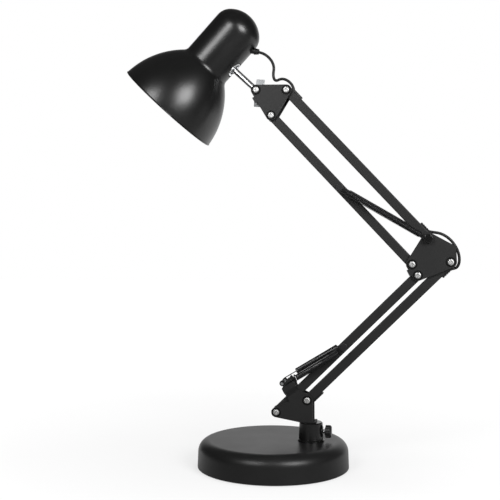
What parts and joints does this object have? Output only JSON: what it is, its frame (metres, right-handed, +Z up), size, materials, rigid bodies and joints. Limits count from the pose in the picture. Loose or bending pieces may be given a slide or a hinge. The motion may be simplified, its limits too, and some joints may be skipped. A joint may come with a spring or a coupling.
{
  "type": "desk lamp",
  "caption": "Desk lamp with a weighted round base, two sprung arms of parallel bars that keep the head level, and a bell shade on a tilting rod.",
  "frame": {"origin": "centre of the base's underside, on the table", "axes": "+Z up, +X towards the elbow, +Y away from the viewer and square to the arms"},
  "size_m": [0.4172, 0.19, 0.5778],
  "materials": {
    "black_paint": "satin powder coat",
    "black_plastic": "moulded, matte",
    "black_steel": "blackened steel",
    "black_spring_wire": "blackened spring wire",
    "chrome": "polished",
    "bright_steel": "turned",
    "zinc_steel": "zinc plated",
    "iron": "as cast",
    "foam_rubber": "soft, closed cell",
    "nylon": "self-lubricating nylon",
    "lead_sheath": "matte sheath",
    "holder_plastic": "moulded heat-proof plastic",
    "contact_brass": "bare",
    "cap_aluminium": "bare",
    "bulb_glass": "frosted"
  },
  "bodies": {
    "base": {"base_cover": "black_paint", "base_weight": "iron", "base_plate": "zinc_steel", "base_screws": "zinc_steel", "base_pad": "foam_rubber", "post_socket": "black_paint", "socket_nut": "zinc_steel"},
    "lock": {"lock_knob": "black_plastic", "lock_screw": "bright_steel"},
    "turret": {"post": "bright_steel", "lower_bracket": "black_paint", "lower_bracket_bolts": "chrome", "lower_bracket_nuts": "zinc_steel", "lower_bracket_spacers": "nylon", "spring_anchor_pins": "bright_steel", "lower_spring_front": "black_spring_wire", "lower_spring_rear": "black_spring_wire"},
    "lower_main": {"lower_main_bar": "black_paint", "lower_main_plugs": "nylon", "lower_main_lead_clips": "black_plastic", "lower_bar_lead": "lead_sheath"},
    "lower_link": {"lower_link_bar": "black_paint", "lower_link_plugs": "nylon", "lower_spring_pin": "black_steel"},
    "elbow": {"elbow_bracket": "black_paint", "elbow_bolts": "chrome", "elbow_nuts": "zinc_steel", "elbow_spacers": "nylon", "elbow_rivet": "black_steel", "elbow_lead": "lead_sheath", "upper_spring_front": "black_spring_wire", "upper_spring_rear": "black_spring_wire"},
    "upper_main": {"upper_main_bar": "black_paint", "upper_main_plugs": "nylon", "upper_main_lead_clips": "black_plastic", "upper_bar_lead": "lead_sheath"},
    "upper_link": {"upper_link_bar": "black_paint", "upper_link_plugs": "nylon", "upper_spring_pin": "black_steel"},
    "head_yoke": {"head_bracket": "black_paint", "head_bolts": "chrome", "head_nuts": "zinc_steel", "head_spacers": "nylon", "tilt_bolt": "chrome", "tilt_washers": "nylon", "head_lead": "lead_sheath"},
    "wing": {"wing_nut": "zinc_steel"},
    "rod": {"head_rod": "chrome", "swivel_cup": "bright_steel", "swivel_nut": "zinc_steel"},
    "head": {"shade": "black_paint", "cord_grommet": "black_plastic", "holder_plate": "zinc_steel", "lamp_holder": "holder_plastic", "nipple_nut": "zinc_steel", "contact_shell": "contact_brass", "centre_contact": "contact_brass", "bulb_cap": "cap_aluminium", "bulb_glass": "bulb_glass"}
  },
  "joints": [
    {"name": "lock_turn", "type": "hinge", "parent": "base", "child": "lock", "pos_m": [0.07, 0, 0.046], "axis": [1, 0, 0], "range_deg": [-180, 180]},
    {"name": "arm_swivel", "type": "hinge", "parent": "base", "child": "turret", "pos_m": [0.048, 0, 0.05], "axis": [0, 0, 1], "continuous": true},
    {"name": "lower_arm_tilt", "type": "hinge", "parent": "turret", "child": "lower_main", "pos_m": [0.0441, 0, 0.0854], "axis": [0, -1, 0], "range_deg": [-5, 45], "deforming": ["lower_spring_front", "lower_spring_rear", "elbow_lead"]},
    {"name": "lower_link_tilt", "type": "hinge", "parent": "turret", "child": "lower_link", "pos_m": [0.00523, 0, 0.06922], "axis": [0, -1, 0], "range_deg": [-5, 45], "deforming": ["lower_spring_front", "lower_spring_rear"]},
    {"name": "elbow_level", "type": "hinge", "parent": "lower_main", "child": "elbow", "pos_m": [0.21774, 0, 0.25753], "axis": [0, -1, 0], "range_deg": [-45, 5], "deforming": ["elbow_lead"]},
    {"name": "upper_arm_tilt", "type": "hinge", "parent": "elbow", "child": "upper_main", "pos_m": [0.19135, 0, 0.28578], "axis": [0, -1, 0], "range_deg": [-30, 45], "deforming": ["upper_spring_front", "upper_spring_rear", "elbow_lead", "head_lead"]},
    {"name": "upper_link_tilt", "type": "hinge", "parent": "elbow", "child": "upper_link", "pos_m": [0.17217, 0, 0.25461], "axis": [0, -1, 0], "range_deg": [-30, 45], "deforming": ["upper_spring_front", "upper_spring_rear"]},
    {"name": "head_level", "type": "hinge", "parent": "upper_main", "child": "head_yoke", "pos_m": [0.01792, 0, 0.47177], "axis": [0, -1, 0], "range_deg": [-45, 30], "deforming": ["head_lead"]},
    {"name": "wing_turn", "type": "hinge", "parent": "head_yoke", "child": "wing", "pos_m": [-0.02036, 0, 0.47297], "axis": [0, 1, 0], "range_deg": [-180, 180]},
    {"name": "head_tilt", "type": "hinge", "parent": "head_yoke", "child": "rod", "pos_m": [-0.02036, 0, 0.47297], "axis": [0, -1, 0], "range_deg": [-45, 35], "deforming": ["head_lead"]},
    {"name": "head_swivel", "type": "hinge", "parent": "rod", "child": "head", "pos_m": [-0.02036, 0, 0.47297], "axis": [-0.7266, 0, 0.6871], "range_deg": [-90, 90], "deforming": ["head_lead"]}
  ],
  "couplings": [
    {"joint": "lower_link_tilt", "follows": "lower_arm_tilt", "ratio": 1},
    {"joint": "elbow_level", "follows": "lower_arm_tilt", "ratio": -1},
    {"joint": "upper_link_tilt", "follows": "upper_arm_tilt", "ratio": 1},
    {"joint": "head_level", "follows": "upper_arm_tilt", "ratio": -1}
  ]
}
